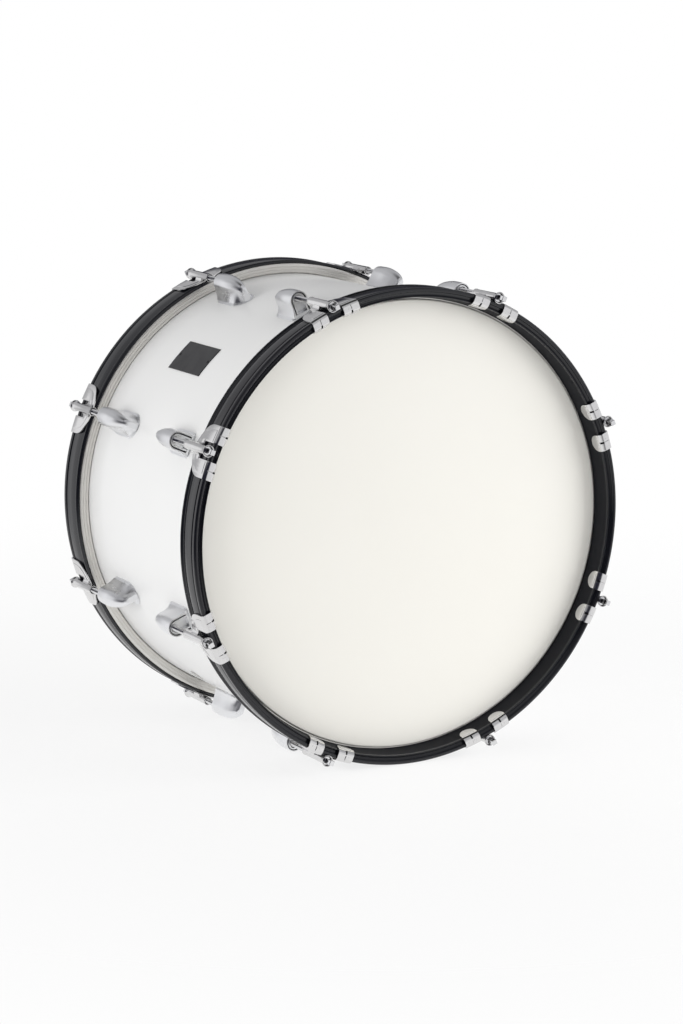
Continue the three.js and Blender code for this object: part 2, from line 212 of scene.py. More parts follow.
def round_post(name, section, reach, steps, open_on_axis=True):
    """Spins a section of (radius, out) round the +X direction at a reach."""
    return lathe(
        name, section, at(0, reach), Vector((1, 0, 0)), Vector((0, 1, 0)), steps, open_on_axis)


def round_rod(name, section, open_on_axis=True):
    """Spins a section of (radius, reach) round the axis of a rod."""
    return lathe(
        name, section, at(ROD_AXIS, 0), Vector((0, -1, 0)), Vector((1, 0, 0)), BAR_STEPS,
        open_on_axis)


def slice_of_ring(name, section, half_turn, steps):
    """Spins a closed section through a few degrees each side of a station, as a solid."""
    piece = draw(name, [at(radius, reach, -half_turn) for radius, reach in section])
    close_chain()
    spin(steps, degrees=2 * half_turn)
    fill_ends()
    tidy_mesh()
    return piece


def slab(name, outline, travel):
    """Extrudes a closed outline of points by a travel (out, reach, across), as a solid."""
    piece = draw(name, outline)
    bpy.ops.mesh.select_all(action="SELECT")
    bpy.ops.mesh.edge_face_add()
    bpy.ops.mesh.extrude_region_move(TRANSFORM_OT_translate={"value": spot(*travel)})
    tidy_mesh()
    return piece


def loft(name, outlines, angle):
    """Bridges closed outlines, each at its own place along Y, and closes both ends."""
    loops = []
    for outline in outlines:
        loops.append(draw(name, outline))
        close_chain()
    piece = gather(*loops)
    bpy.ops.object.mode_set(mode="EDIT")
    places = [outline[0].y for outline in outlines]

    def lies_at(edge, *wanted):
        first, second = (vert.co.y for vert in edge.verts)
        return abs(first - second) < SAME_PLACE and any(
            abs(first - place) < SAME_PLACE for place in wanted)

    for here, there in zip(places, places[1:]):
        pick("edges", lambda edge: lies_at(edge, here, there))
        bpy.ops.mesh.bridge_edge_loops()
    for end in (places[0], places[-1]):
        pick("edges", lambda edge: lies_at(edge, end))
        bpy.ops.mesh.edge_face_add()
    tidy_mesh(angle)
    return piece


def block(name, low, high):
    """A box between two corners (out, reach, across), to cut with or to round off."""
    corners = [(low[0], low[1]), (high[0], low[1]), (high[0], high[1]), (low[0], high[1])]
    outline = [spot(out, reach, low[2]) for out, reach in corners]
    return slab(name, outline, (0, 0, high[2] - low[2]))


def combine(piece, other, operation):
    """Joins, cuts or crosses a piece with another one, which is used up."""
    take(piece)
    modifier = piece.modifiers.new("combine", "BOOLEAN")
    modifier.operation = operation
    modifier.object = other
    modifier.solver = "EXACT"
    bpy.ops.object.modifier_apply(modifier=modifier.name)
    bpy.data.objects.remove(other)
    return piece


def soften(piece, width, segments=2, angle=38):
    """Rounds the edges of a piece that bend more than an angle in degrees."""
    take(piece)
    modifier = piece.modifiers.new("soften", "BEVEL")
    modifier.width = width * MM
    modifier.segments = segments
    modifier.limit_method = "ANGLE"
    modifier.angle_limit = math.radians(angle)
    modifier.use_clamp_overlap = True
    bpy.ops.object.modifier_apply(modifier=modifier.name)
    smooth()
    return piece


def gather(piece, *others):
    """Puts several pieces in one object."""
    take(piece)
    for other in others:
        other.select_set(True)
    bpy.ops.object.join()
    return piece


def turn_piece(piece, turn, side="front"):
    """Turns a piece from the +X axis of the front side to a turn and a side of the drum."""
    about_axis = Matrix.Rotation(-math.radians(turn), 4, "Y")
    to_side = Matrix.Rotation(math.pi if side == "rear" else 0, 4, "Z")
    piece.data.transform(to_side @ about_axis)
    return piece


def turned_copy(piece, name, turn, side):
    """A copy with its own mesh, turned to a station and to a side of the drum."""
    copy = piece.copy()
    copy.data = piece.data.copy()
    copy.name = name
    bpy.context.scene.collection.objects.link(copy)
    return turn_piece(copy, turn, side)


def station_turn(station):
    """Angle of a station in degrees, from 1 to 8."""
    return (station - 0.5) * 360 / STATIONS


def arc(radius, reach, size, start, end, steps):
    """Points of an arc in a section, from angle to angle: 0 is outwards and 90 is to the lip."""
    turns = [math.radians(start + (end - start) * i / steps) for i in range(steps + 1)]
    return [(radius + size * math.cos(turn), reach + size * math.sin(turn)) for turn in turns]


def both_sides(half):
    """Mirrors an outline of (across, along) points about its middle."""
    return list(half) + [(-across, along) for across, along in reversed(half) if across > 0]


# Materials


COLOR = "NodeSocketColor"
NUMBER = "NodeSocketFloat"

# The part of its span that noise mostly stays in
NOISE_LOW = 0.3
NOISE_HIGH = 0.7

# Height of the fine relief, in millimetres
GRAIN_HEIGHT = 0.2

# The shader's sockets that a finish may set to one value
CONSTANTS = {
    "metal": "Metallic", "specular": "Specular IOR Level", "coat": "Coat Weight",
    "coat_roughness": "Coat Roughness",
}


def grey(level):
    """A grey colour."""
    return (level, level, level, 1)


def add_node(tree, kind, inputs=None, **settings):
    """Adds a node with its settings, and gives its inputs a value or a link from a socket."""
    node = tree.nodes.new("ShaderNode" + kind)
    for label, value in settings.items():
        setattr(node, label, value)
    for label, value in (inputs or {}).items():
        if isinstance(value, bpy.types.NodeSocket):
            tree.links.new(value, node.inputs[label])
        else:
            node.inputs[label].default_value = value
    return node


def node_group(name, inputs, outputs):
    """An empty shader node group, with the sockets that it is given and those that it makes."""
    group = bpy.data.node_groups.new(name, "ShaderNodeTree")
    for label, kind, value in inputs:
        socket = group.interface.new_socket(label, in_out="INPUT", socket_type=kind)
        socket.default_value = value
    for label, kind in outputs:
        group.interface.new_socket(label, in_out="OUTPUT", socket_type=kind)
    given = group.nodes.new("NodeGroupInput").outputs
    made = group.nodes.new("NodeGroupOutput").inputs
    return group, given, made


def object_place(tree):
    """Object coordinates."""
    return add_node(tree, "TexCoord").outputs["Object"]


def noise(tree, place, scale, detail):
    """Noise at a place."""
    values = {"Vector": place, "Scale": scale, "Detail": detail}
    return add_node(tree, "TexNoise", values).outputs["Fac"]


def mottle_group():
    """Cloudy change between two tones of a finish."""
    group, given, made = node_group(
        "mottle",
        [("Light", COLOR, grey(1)), ("Dark", COLOR, grey(0)), ("Scale", NUMBER, 20.0)],
        [("Color", COLOR)])
    clouds = noise(group, object_place(group), given["Scale"], detail=4)
    tones = {"Factor": clouds, "A": given["Dark"], "B": given["Light"]}
    mix = add_node(group, "Mix", tones, data_type="RGBA")
    group.links.new(mix.outputs["Result"], made["Color"])
    return group


def handling_group():
    """Uneven polish from handling, and the fine relief of a surface."""
    group, given, made = node_group(
        "handling",
        [("Polished", NUMBER, 0.2), ("Dull", NUMBER, 0.4), ("Scale", NUMBER, 60.0),
         ("Grain", NUMBER, 900.0)],
        [("Roughness", NUMBER), ("Height", NUMBER)])
    patches = noise(group, object_place(group), given["Scale"], detail=6)
    polish = add_node(group, "MapRange", {
        "Value": patches, "From Min": NOISE_LOW, "From Max": NOISE_HIGH,
        "To Min": given["Polished"], "To Max": given["Dull"]})
    grain = noise(group, object_place(group), given["Grain"], detail=2)
    group.links.new(polish.outputs["Result"], made["Roughness"])
    group.links.new(grain, made["Height"])
    return group


def radius_group():
    """Distance from the drum's axis, in metres."""
    group, _, made = node_group("radius", [], [("Radius", NUMBER)])
    flat = add_node(
        group, "VectorMath", {0: object_place(group), 1: (1, 0, 1)}, operation="MULTIPLY")
    length = add_node(group, "VectorMath", {0: flat.outputs["Vector"]}, operation="LENGTH")
    group.links.new(length.outputs["Value"], made["Radius"])
    return group


def turned_group(radius):
    """Fine lines that run round the drum's axis, as on a rolled and turned ring."""
    group, given, made = node_group(
        "turned lines", [("Lines", NUMBER, 2000.0)], [("Height", NUMBER)])
    split = add_node(group, "SeparateXYZ", {"Vector": object_place(group)})
    out = add_node(group, "Group", node_tree=radius)
    place = add_node(
        group, "CombineXYZ", {"X": out.outputs["Radius"], "Y": split.outputs["Y"]})
    lines = noise(group, place.outputs["Vector"], given["Lines"], detail=3)
    group.links.new(lines, made["Height"])
    return group


def principled(material):
    """A material's Principled shader."""
    return material.node_tree.nodes["Principled BSDF"]


def add_relief(material, height, strength, distance):
    """Feeds a height through a Bump node to a material's normal."""
    tree = material.node_tree
    bump = add_node(
        tree, "Bump", {"Height": height, "Strength": strength, "Distance": distance * MM})
    tree.links.new(bump.outputs["Normal"], principled(material).inputs["Normal"])


def finish(name, groups, light, dark, patch, polished, dull, grain, relief=0.0, **constants):
    """A finish with two cloudy tones, uneven polish and, where it has one, a fine relief."""
    material = bpy.data.materials.new(name)
    material.use_nodes = True
    tree = material.node_tree
    shader = principled(material)
    tones = add_node(
        tree, "Group", {"Light": (*light, 1), "Dark": (*dark, 1), "Scale": patch},
        node_tree=groups["mottle"])
    marks = add_node(
        tree, "Group", {"Polished": polished, "Dull": dull, "Scale": patch, "Grain": grain},
        node_tree=groups["handling"])
    tree.links.new(tones.outputs["Color"], shader.inputs["Base Color"])
    tree.links.new(marks.outputs["Roughness"], shader.inputs["Roughness"])
    if relief:
        add_relief(material, marks.outputs["Height"], relief, GRAIN_HEIGHT)
    for label, value in constants.items():
        shader.inputs[CONSTANTS[label]].default_value = value
    return material


def shell_lacquer(groups):
    """White gloss lacquer over a ply shell."""
    return finish(
        "shell_lacquer", groups, light=(0.93, 0.93, 0.925), dark=(0.905, 0.905, 0.9), patch=9,
        polished=0.3, dull=0.4, grain=220, relief=0.03, specular=0.25, coat=0.12,
        coat_roughness=0.08)


# Roughness of the counter hoops' inner wall, and the distance over which it sets in
WALL_ROUGHNESS = 0.88
WALL_FADE = 0.5


def hoop_lacquer(groups):
    """Black gloss of the counter hoops, dull on the inner wall."""
    material = finish(
        "hoop_black", groups, light=(0.0075, 0.008, 0.011), dark=(0.005, 0.0055, 0.008),
        patch=30, polished=0.13, dull=0.2, grain=500, relief=0.03, specular=0.5)
    tree = material.node_tree
    roughness = principled(material).inputs["Roughness"]
    out = add_node(tree, "Group", node_tree=groups["radius"])
    wall = add_node(tree, "MapRange", {
        "Value": out.outputs["Radius"], "From Min": WALL_TOP * MM,
        "From Max": (WALL_TOP - WALL_FADE) * MM, "To Max": WALL_ROUGHNESS})
    dullest = add_node(
        tree, "Math", {0: wall.outputs["Result"], 1: roughness.links[0].from_socket},
        operation="MAXIMUM")
    tree.links.new(dullest.outputs["Value"], roughness)
    return material


def head_film(groups):
    """Cream film of the heads, with the fine tooth of its coating."""
    return finish(
        "head_film", groups, light=(0.9, 0.885, 0.835), dark=(0.88, 0.862, 0.805), patch=7,
        polished=0.42, dull=0.55, grain=1500, relief=0.08, specular=0.35)


def flesh_hoop_metal(groups):
    """Rolled aluminium of the flesh hoops, with fine turned lines."""
    material = finish(
        "flesh_hoop_metal", groups, light=(0.84, 0.825, 0.79), dark=(0.72, 0.705, 0.67),
        patch=45, polished=0.36, dull=0.5, grain=900, metal=1.0)
    lines = add_node(
        material.node_tree, "Group", {"Lines": 1800.0}, node_tree=groups["turned"])
    add_relief(material, lines.outputs["Height"], strength=0.07, distance=0.12)
    return material


def lug_metal(groups):
    """Satin plating on the die-cast lugs."""
    return finish(
        "lug_metal", groups, light=(0.88, 0.885, 0.9), dark=(0.8, 0.805, 0.82), patch=60,
        polished=0.26, dull=0.36, grain=900, relief=0.02, metal=1.0)


def claw_metal(groups):
    """Bright plating on the pressed claws."""
    return finish(
        "claw_metal", groups, light=(0.79, 0.785, 0.785), dark=(0.66, 0.655, 0.655), patch=70,
        polished=0.1, dull=0.2, grain=1100, relief=0.04, metal=1.0)


def rod_chrome(groups):
    """Chrome of the tension rods."""
    return finish(
        "rod_chrome", groups, light=(0.82, 0.82, 0.83), dark=(0.68, 0.68, 0.69), patch=90,
        polished=0.06, dull=0.13, grain=1300, relief=0.03, metal=1.0)


def badge_satin(groups):
    """Dark satin of the bare badge plate."""
    return finish(
        "badge", groups, light=(0.044, 0.044, 0.047), dark=(0.029, 0.029, 0.031), patch=60,
        polished=0.3, dull=0.45, grain=1200, relief=0.1, metal=0.35)


def vent_metal(groups):
    """Worn nickel of the air vent."""
    return finish(
        "vent_metal", groups, light=(0.66, 0.65, 0.63), dark=(0.4, 0.4, 0.39), patch=150,
        polished=0.2, dull=0.4, grain=1100, relief=0.08, metal=1.0)


def make_materials():
    """Every finish of the drum, by the record's material slot."""
    radius = radius_group()
    groups = {
        "mottle": mottle_group(), "handling": handling_group(), "radius": radius,
        "turned": turned_group(radius),
    }
    return {
        "shell_lacquer": shell_lacquer(groups),
        "hoop_black": hoop_lacquer(groups),
        "head_film": head_film(groups),
        "flesh_hoop_metal": flesh_hoop_metal(groups),
        "lug_metal": lug_metal(groups),
        "claw_metal": claw_metal(groups),
        "rod_chrome": rod_chrome(groups),
        "badge": badge_satin(groups),
        "vent_metal": vent_metal(groups),
    }


# Shell, badge and vent


# Bearing edge: distances inwards from the shell's outside and back from its edge
BEARING_EDGE = (
    (SHELL_WALL, 4.5), (5.8, 3.8), (2.4, 0.4), (1.9, 0.05), (1.4, 0), (1.0, 0.2), (0.2, 1.0),
    (0, 1.5))

# Reaches of the cuts that keep the shell's faces short beside its holes
SHELL_CUTS = (100, 92, 80, 64, 52, 46)

SCREW_HOLE = 2.8
SCREW_SIDES = 16
VENT_HOLE = 6.3
VENT_SIDES = 32


def drill(radius, reach, sides):
    """A round bar through the shell's wall, which cuts a hole."""
    low, high = SHELL_INSIDE - OVERRUN, SHELL_RADIUS + OVERRUN
    section = [(0, low), (radius, low), (radius, high), (0, high)]
    return round_post("drill", section, reach, sides)


def shell_drills():
    """Bars for every lug's screw holes and for the vent's hole, in one object."""
    masters = [drill(SCREW_HOLE, reach, SCREW_SIDES) for reach in SCREW_REACHES]
    drills = []
    for side in SIDES:
        for station in range(1, STATIONS + 1):
            for master in masters:
                drills.append(turned_copy(master, "hole", station_turn(station), side))
    for master in masters:
        bpy.data.objects.remove(master)
    drills.append(turn_piece(drill(VENT_HOLE, VENT_REACH, VENT_SIDES), VENT_TURN))
    return gather(*drills)


def model_shell():
    """Lacquered shell with bearing edges, screw holes and the vent's hole."""
    half = [(SHELL_RADIUS - inwards, SHELL_REACH - back) for inwards, back in BEARING_EDGE]
    section = half + [(radius, -reach) for radius, reach in reversed(half)]
    shell = ring("shell", section, SHELL_STEPS)
    bpy.ops.object.mode_set(mode="EDIT")
    for reach in SHELL_CUTS:
        for side in (1, -1):
            bpy.ops.mesh.select_all(action="SELECT")
            bpy.ops.mesh.bisect(plane_co=(0, side * reach * MM, 0), plane_no=(0, 1, 0))
    bpy.ops.object.mode_set(mode="OBJECT")
    combine(shell, shell_drills(), "DIFFERENCE")
    smooth()
    return shell


# Badge plate, and the places of its rivets from its middle
BADGE_BACK = SHELL_RADIUS + 0.15
BADGE_FACE = BADGE_BACK + 0.95
BADGE_HALF_LENGTH = 39.25
BADGE_HALF_TURN = 4.5
RIVET_PLACE = 35.5

# Rivet: radius, and height over the badge's face
RIVET = ((0, -0.2), (1.9, -0.2), (1.9, 0.25), (1.6, 0.6), (1.0, 0.85), (0, 0.95))


def model_badge():
    """Bare curved plate, held by two small rivets."""
    first, last = BADGE_REACH - BADGE_HALF_LENGTH, BADGE_REACH + BADGE_HALF_LENGTH
    section = [(BADGE_BACK, first), (BADGE_FACE, first), (BADGE_FACE, last), (BADGE_BACK, last)]
    plate = slice_of_ring("badge", section, BADGE_HALF_TURN, SMALL_STEPS)
    soften(plate, width=0.35, segments=3, angle=60)
    dome = [(radius, BADGE_FACE + height) for radius, height in RIVET]
    rivets = [round_post("rivet", dome, BADGE_REACH + place, SMALL_STEPS)
              for place in (-RIVET_PLACE, RIVET_PLACE)]
    return turn_piece(gather(plate, *rivets), BADGE_TURN)


# Vent's barrel and rolled flange: radius, and height over the shell's outside
VENT_STEPS = 48
VENT = (
    (3.6, -SHELL_WALL), (6.0, -SHELL_WALL), (6.0, 0), (9.0, 0.05), (9.05, 0.4), (8.6, 0.9),
    (7.6, 1.3), (6.0, 1.5), (4.8, 1.35), (4.0, 0.9), (3.65, 0.2))


def model_vent():
    """Eyelet through the shell: a barrel with a rolled flange."""
    section = [(radius, SHELL_RADIUS + height) for radius, height in VENT]
    vent = round_post("vent", section, VENT_REACH, VENT_STEPS, open_on_axis=False)
    return turn_piece(vent, VENT_TURN)


# Heads, flesh hoops and counter hoops


# Film of the heads: its flat, the bend and collar over the shell's edge, and the flange
FILM = 0.25
HEAD_REACH = 152.95
HEAD_RINGS = (0, 40, 90, 140, 190, 230, 246, 250)
COLLAR_RADIUS = 254.7
COLLAR_BEND = 1.8
FLANGE_RADIUS = 262.0
FLANGE_REACH = 141.3


def model_head():
    """Film over the shell's edge, its collar, and the flange held in the flesh hoop."""
    bend_out, bend_reach = COLLAR_RADIUS - COLLAR_BEND, HEAD_REACH - COLLAR_BEND
    top = [(radius, HEAD_REACH) for radius in HEAD_RINGS]
    top += arc(bend_out, bend_reach, COLLAR_BEND, 90, 0, 8)
    flange = [
        (COLLAR_RADIUS, FLANGE_REACH + FILM), (FLANGE_RADIUS, FLANGE_REACH + FILM),
        (FLANGE_RADIUS, FLANGE_REACH), (COLLAR_RADIUS - FILM, FLANGE_REACH)]
    under = arc(bend_out, bend_reach, COLLAR_BEND - FILM, 0, 90, 8)
    under += [(radius, HEAD_REACH - FILM) for radius in reversed(HEAD_RINGS)]
    return ring("head", top + flange + under, HOOP_STEPS, open_on_axis=True)


# Flesh hoop, with its slot round the flange and the radii of the grooves in its back
FLESH_INSIDE = 255.0
FLESH_OUTSIDE = 266.0
FLESH_BACK = 139.0
FLESH_FRONT = 150.5
FLESH_GROOVES = (262.0, 258.5)
SLOT_GAP = 0.2


def model_flesh_hoop():
    """Aluminium ring round the head's collar, with a slot for the film and a grooved back."""
    inside, outside, back, front = FLESH_INSIDE, FLESH_OUTSIDE, FLESH_BACK, FLESH_FRONT
    section = [
        (inside, front - 0.6), (inside + 0.3, front - 0.1), (inside + 0.8, front),
        (outside - 0.7, front), (outside - 0.2, front - 0.2), (outside, front - 0.8),
        (outside, back + 0.9), (outside - 0.2, back + 0.3), (outside - 0.8, back)]
    for groove in FLESH_GROOVES:
        section += [
            (groove + 0.5, back), (groove + 0.3, back + 0.5), (groove - 0.3, back + 0.5),
            (groove - 0.5, back)]
    section += [(inside + 0.8, back), (inside + 0.3, back + 0.1), (inside, back + 0.6)]
    slot_foot = FLANGE_RADIUS + SLOT_GAP
    slot_back, slot_front = FLANGE_REACH - SLOT_GAP, FLANGE_REACH + FILM + SLOT_GAP
    section += [
        (inside, slot_back), (slot_foot, slot_back), (slot_foot, slot_front),
        (inside, slot_front)]
    return ring("flesh_hoop", section, HOOP_STEPS)


# Counter hoop: its leaning inner wall, and the centres and radii of its roll and its bead
WALL_FOOT = 256.3
WALL_FOOT_DEPTH = 26.0
WALL_TOP = 259.35
WALL_TOP_DEPTH = 1.6
ROLL_RADIUS = 267.4
ROLL_SIZE = 2.6
BEAD_RADIUS = 267.2
BEAD_DEPTH = 34.9
BEAD_SIZE = 2.8

# More of its section: distances inwards from its radius, and depths
HOOP_VALLEY = ((9.1, 2.5), (8.4, 3.1), (7.6, 3.4), (6.8, 3.1))
HOOP_BAND = (
    (1.8, 0.1), (1.0, 0.4), (0.4, 1.0), (0.07, 1.9), (0, 2.8), (0, 5.3), (0.3, 6.2), (1.0, 6.7),
    (1.6, 7.0), (1.8, 7.6), (1.6, 8.2), (0.9, 8.6), (0.55, 9.1), (0.45, 9.9), (0.4, 20.8),
    (0.5, 21.8), (1.65, 29.2), (1.9, 30.2), (1.95, 31.0), (1.8, 31.8))
HOOP_BACK = ((2.6, 38.0), (3.3, 38.0), (3.65, 37.6), (3.7, WALL_FOOT_DEPTH))


def on_hoop(points):
    """Section points from distances inwards from the hoop's radius and depths."""
    return [(HOOP_RADIUS - inwards, LIP_REACH - depth) for inwards, depth in points]


def model_hoop():
    """Counter hoop: leaning inner wall, valley, rolled lip, band with a line, shell-side bead."""
    foot = LIP_REACH - WALL_FOOT_DEPTH
    section = [
        (WALL_FOOT + 2.3, foot), (WALL_FOOT + 0.3, foot), (WALL_FOOT, foot + 0.3),
        (WALL_FOOT + 0.05, foot + 1.0), (WALL_TOP - 0.15, LIP_REACH - 3.2)]
    section += arc(WALL_TOP + 0.6, LIP_REACH - 2.4, 0.75, 180, 30, 6)
    section += on_hoop(HOOP_VALLEY)
    section += arc(ROLL_RADIUS, LIP_REACH - ROLL_SIZE, ROLL_SIZE, 168, 100, 8)
    section += on_hoop(HOOP_BAND)
    section += arc(BEAD_RADIUS, LIP_REACH - BEAD_DEPTH, BEAD_SIZE, 62, -72, 10)
    section += on_hoop(HOOP_BACK)
    return ring("hoop", section, HOOP_STEPS)


# Claws


# Bent sheet: offsets of its two faces from the hoop, and how far it goes back outside and inside
SHEET_FACES = (0.3, 1.9)
SHEET_DEPTH = 40.0
SHEET_HALF_TURN = 7.2
TONGUE_DEPTH = 17.0

# Hooks over the lip, from the middle of the claw, and the half discs that they end in
HOOK_ACROSS = 20.0
HOOK_RADIUS = 264.0
HOOK_BEND = 5.1
HOOK_REACH = LIP_REACH - HOOK_BEND
DISC_DEPTH = 4.2
TONGUE_SIZE = 10.0

# Opening between the wings, and radii inside and outside all of a claw, for cutters
WINDOW_HALF = 10.0
WINDOW_DEPTH = 21.0
CUT_INSIDE = 240.0
CUT_OUTSIDE = 290.0
TOUCH = 0.05

# Outlines of the wings and of their raised middle, from across and depth
WING = (
    (0, 38.4), (5, 37.9), (10, 36.7), (15, 34.5), (20, 31.6), (24, 28.6), (27, 25.0), (29, 20.5),
    (29.8, 16), (30, 11), (30, -OVERRUN))
RELIEF = (
    (0, 33.0), (5, 32.4), (10, 31.0), (15, 28.6), (19, 25.6), (21.8, 22.0), (23.6, 17.5),
    (24.5, 12.5), (24.7, 7), (24.7, -OVERRUN))

# Raised middle: its half turn, its inset from the opening, and heights over the hoop and depths
RELIEF_HALF_TURN = 6.2
RELIEF_INSET = 1.2
RELIEF_SECTION = (
    (1.4, SHEET_DEPTH), (1.4, 3.6), (1.9, 3.4), (2.2, 4.0), (2.3, 4.8), (2.3, SHEET_DEPTH))

# Pads on the tongues: offsets of their two faces from the hoop, size and outer limit
PAD_FACES = (1.5, 2.35)
PAD_SIZE = 7.2
PAD_START = 3.2
PAD_LIMIT = 261.0

# Web up to the sleeve: across and height over the hoop
SADDLE = ((10.5, 1.2), (8.8, 1.5), (7.4, 2.1), (6.3, 3.0), (5.5, 4.1), (4.8, 5.4))
SADDLE_DEPTH = 21.6
SADDLE_LENGTH = 14.6

# Sleeve: radius, and reach past its inner end for the rim and past the key's seat for the mouth
SLEEVE_END = 126.2
SLEEVE_RIM = (
    (3.9, 1.2), (4.0, 0.4), (4.4, 0), (4.9, 0.05), (5.2, 0.5), (5.2, 1.3), (4.95, 1.9),
    (4.8, 2.7))
SLEEVE_MOUTH = (
    (4.8, -6.0), (4.85, -3.0), (5.0, -0.7), (5.5, 1.2), (6.1, 2.3), (6.6, 3.1), (6.75, 3.8),
    (6.6, 4.4), (6.2, 4.65), (5.85, 4.4), (5.7, 3.8), (5.6, 1.4), (5.2, 0.2), (3.9, 0))

# Slot in each hook, from out and across, and the crease over it, from reach past the lip and across
SLOT = ((261.9, -0.9), (261.9, 0.9), (257.6, 1.2), (257.6, -1.2))
SLOT_DEPTH = 7.0
CREASE = ((1.3, 0), (2.2, 0.7), (2.2, -0.7))
CREASE_START = 263.0
CREASE_LENGTH = 6.4


def wall_radius(depth):
    """Radius of the hoop's leaning inner wall at a depth."""
    lean = (WALL_TOP - WALL_FOOT) / (WALL_FOOT_DEPTH - WALL_TOP_DEPTH)
    return WALL_TOP - (depth - WALL_TOP_DEPTH) * lean


def claw_section(under, top):
    """Section of a sheet bent over the lip, between two offsets from the hoop."""
    roll = LIP_REACH - ROLL_SIZE
    wall, tongue = wall_radius(TONGUE_DEPTH), LIP_REACH - TONGUE_DEPTH
    end = LIP_REACH - SHEET_DEPTH
    section = [(HOOP_RADIUS + under, end)]
    section += arc(ROLL_RADIUS, roll, ROLL_SIZE + under, 0, 90, 10)
    section += arc(HOOK_RADIUS, HOOK_REACH, HOOK_BEND + under, 90, 180, 12)
    section += [(wall - under, tongue), (wall - top, tongue)]
    section += arc(HOOK_RADIUS, HOOK_REACH, HOOK_BEND + top, 180, 90, 14)
    section += arc(ROLL_RADIUS, roll, ROLL_SIZE + top, 90, 0, 12)
    return section + [(HOOP_RADIUS + top, end)]


def outline_slab(name, outline, low, high):
    """An outline of (across, depth) points, extruded outwards from radius to radius."""
    points = [spot(low, LIP_REACH - depth, across) for across, depth in outline]
    return slab(name, points, (high - low, 0, 0))


def claw_window(margin):
    """Cutter for the opening between the wings, wider by a margin."""
    half, depth = WINDOW_HALF + margin, WINDOW_DEPTH + margin
    return block(
        "window", (CUT_INSIDE, LIP_REACH - depth, -half),
        (CUT_OUTSIDE, LIP_REACH + OVERRUN, half))


def half_discs(name, size, start, limit, steps):
    """Two half discs on the hooks' inner sides, extruded outwards as far as a radius."""
    disc = [(HOOK_ACROSS - size, start)]
    disc += arc(HOOK_ACROSS, DISC_DEPTH, size, 180, 0, steps)
    disc += [(HOOK_ACROSS + size, start)]
    mirrored = [(-across, depth) for across, depth in disc]
    return gather(*(outline_slab(name, half, CUT_INSIDE, limit) for half in (disc, mirrored)))


def model_claw_sheet():
    """Pressed sheet: two wings, two hooks over the lip and two tongues on the inner wall."""
    wings = slice_of_ring("claw_sheet", claw_section(*SHEET_FACES), SHEET_HALF_TURN, 36)
    tongues = turned_copy(wings, "claw_tongues", 0, "front")
    outline = outline_slab("wings", both_sides(WING), HOOK_RADIUS, CUT_OUTSIDE)
    combine(wings, outline, "INTERSECT")
    combine(wings, claw_window(0), "DIFFERENCE")
    discs = half_discs("tongue", TONGUE_SIZE, -OVERRUN, HOOK_RADIUS + TOUCH, 20)
    combine(tongues, discs, "INTERSECT")
    return combine(wings, tongues, "UNION")


def cut_hooks(claw):
    """A slot through each hook where it bends, and a crease along the bend."""
    for hook in (HOOK_ACROSS, -HOOK_ACROSS):
        slot = [spot(out, LIP_REACH + OVERRUN, hook + across) for out, across in SLOT]
        combine(claw, slab("slot", slot, (0, -SLOT_DEPTH - OVERRUN, 0)), "DIFFERENCE")
        crease = [spot(CREASE_START, LIP_REACH + past, hook + across) for past, across in CREASE]
        combine(claw, slab("crease", crease, (CREASE_LENGTH, 0, 0)), "DIFFERENCE")


def model_claw_relief():
    """Raised middle of the wings, ending before the bend."""
    section = [(HOOP_RADIUS + height, LIP_REACH - depth) for height, depth in RELIEF_SECTION]
    relief = slice_of_ring("relief", section, RELIEF_HALF_TURN, 30)
    outline = outline_slab("relief_edge", both_sides(RELIEF), HOOK_RADIUS, CUT_OUTSIDE)
    combine(relief, outline, "INTERSECT")
    combine(relief, claw_window(RELIEF_INSET), "DIFFERENCE")
    return soften(relief, width=0.25)


def model_tongue_pads():
    """Raised half discs on the tongues."""
    pads = slice_of_ring("pads", claw_section(*PAD_FACES), RELIEF_HALF_TURN, 30)
    combine(pads, half_discs("pad", PAD_SIZE, PAD_START, PAD_LIMIT, 16), "INTERSECT")
    return soften(pads, width=0.25)


def model_saddle():
    """Web that flows from the wings up to the sleeve."""
    outline = [spot(HOOP_RADIUS + height, LIP_REACH - SADDLE_DEPTH, across)
               for across, height in both_sides(SADDLE)]
    web = slab("saddle", outline, (0, -SADDLE_LENGTH, 0))
    return soften(web, width=0.6, segments=3, angle=50)


def model_sleeve():
    """Tube for the rod: rolled rim towards the shell and a trumpet mouth with a ring at the key."""
    section = [(radius, SLEEVE_END + past) for radius, past in SLEEVE_RIM]
    section += [(radius, KEY_SEAT + past) for radius, past in SLEEVE_MOUTH]
    return round_rod("sleeve", section, open_on_axis=False)


def model_claw():
    """Whole claw: sheet with slotted and creased hooks, relief, tongue pads, saddle and sleeve."""
    claw = model_claw_sheet()
    cut_hooks(claw)
    soften(claw, width=0.4, segments=3)
    return gather(claw, model_claw_relief(), model_tongue_pads(), model_saddle(), model_sleeve())


# Tension rods


# Cut thread, from its start at the inner end: radii, pitch, and shares of a pitch for its tooth
ROD_SIZE = 3.0
THREAD_ROOT = 2.42
THREAD_PITCH = 1.0
THREAD_TURNS = 62
THREAD_STEPS = 20
THREAD_START = 80.0
THREAD_END = THREAD_START + (THREAD_TURNS + 1) * THREAD_PITCH
TOOTH_SHARES = (
    (THREAD_ROOT, 0), (THREAD_ROOT, 0.22), (ROD_SIZE, 0.56), (ROD_SIZE, 0.69), (THREAD_ROOT, 1))

# Rounded tip and start of the shank: radius, and reach past either end of the thread
TIP = ((0, -0.9), (1.6, -0.9), (2.4, -0.2), (2.4, 1.5), (0, 1.5))
SHANK_START = ((0, -1.4), (2.9, -1.4), (ROD_SIZE, -1.2))

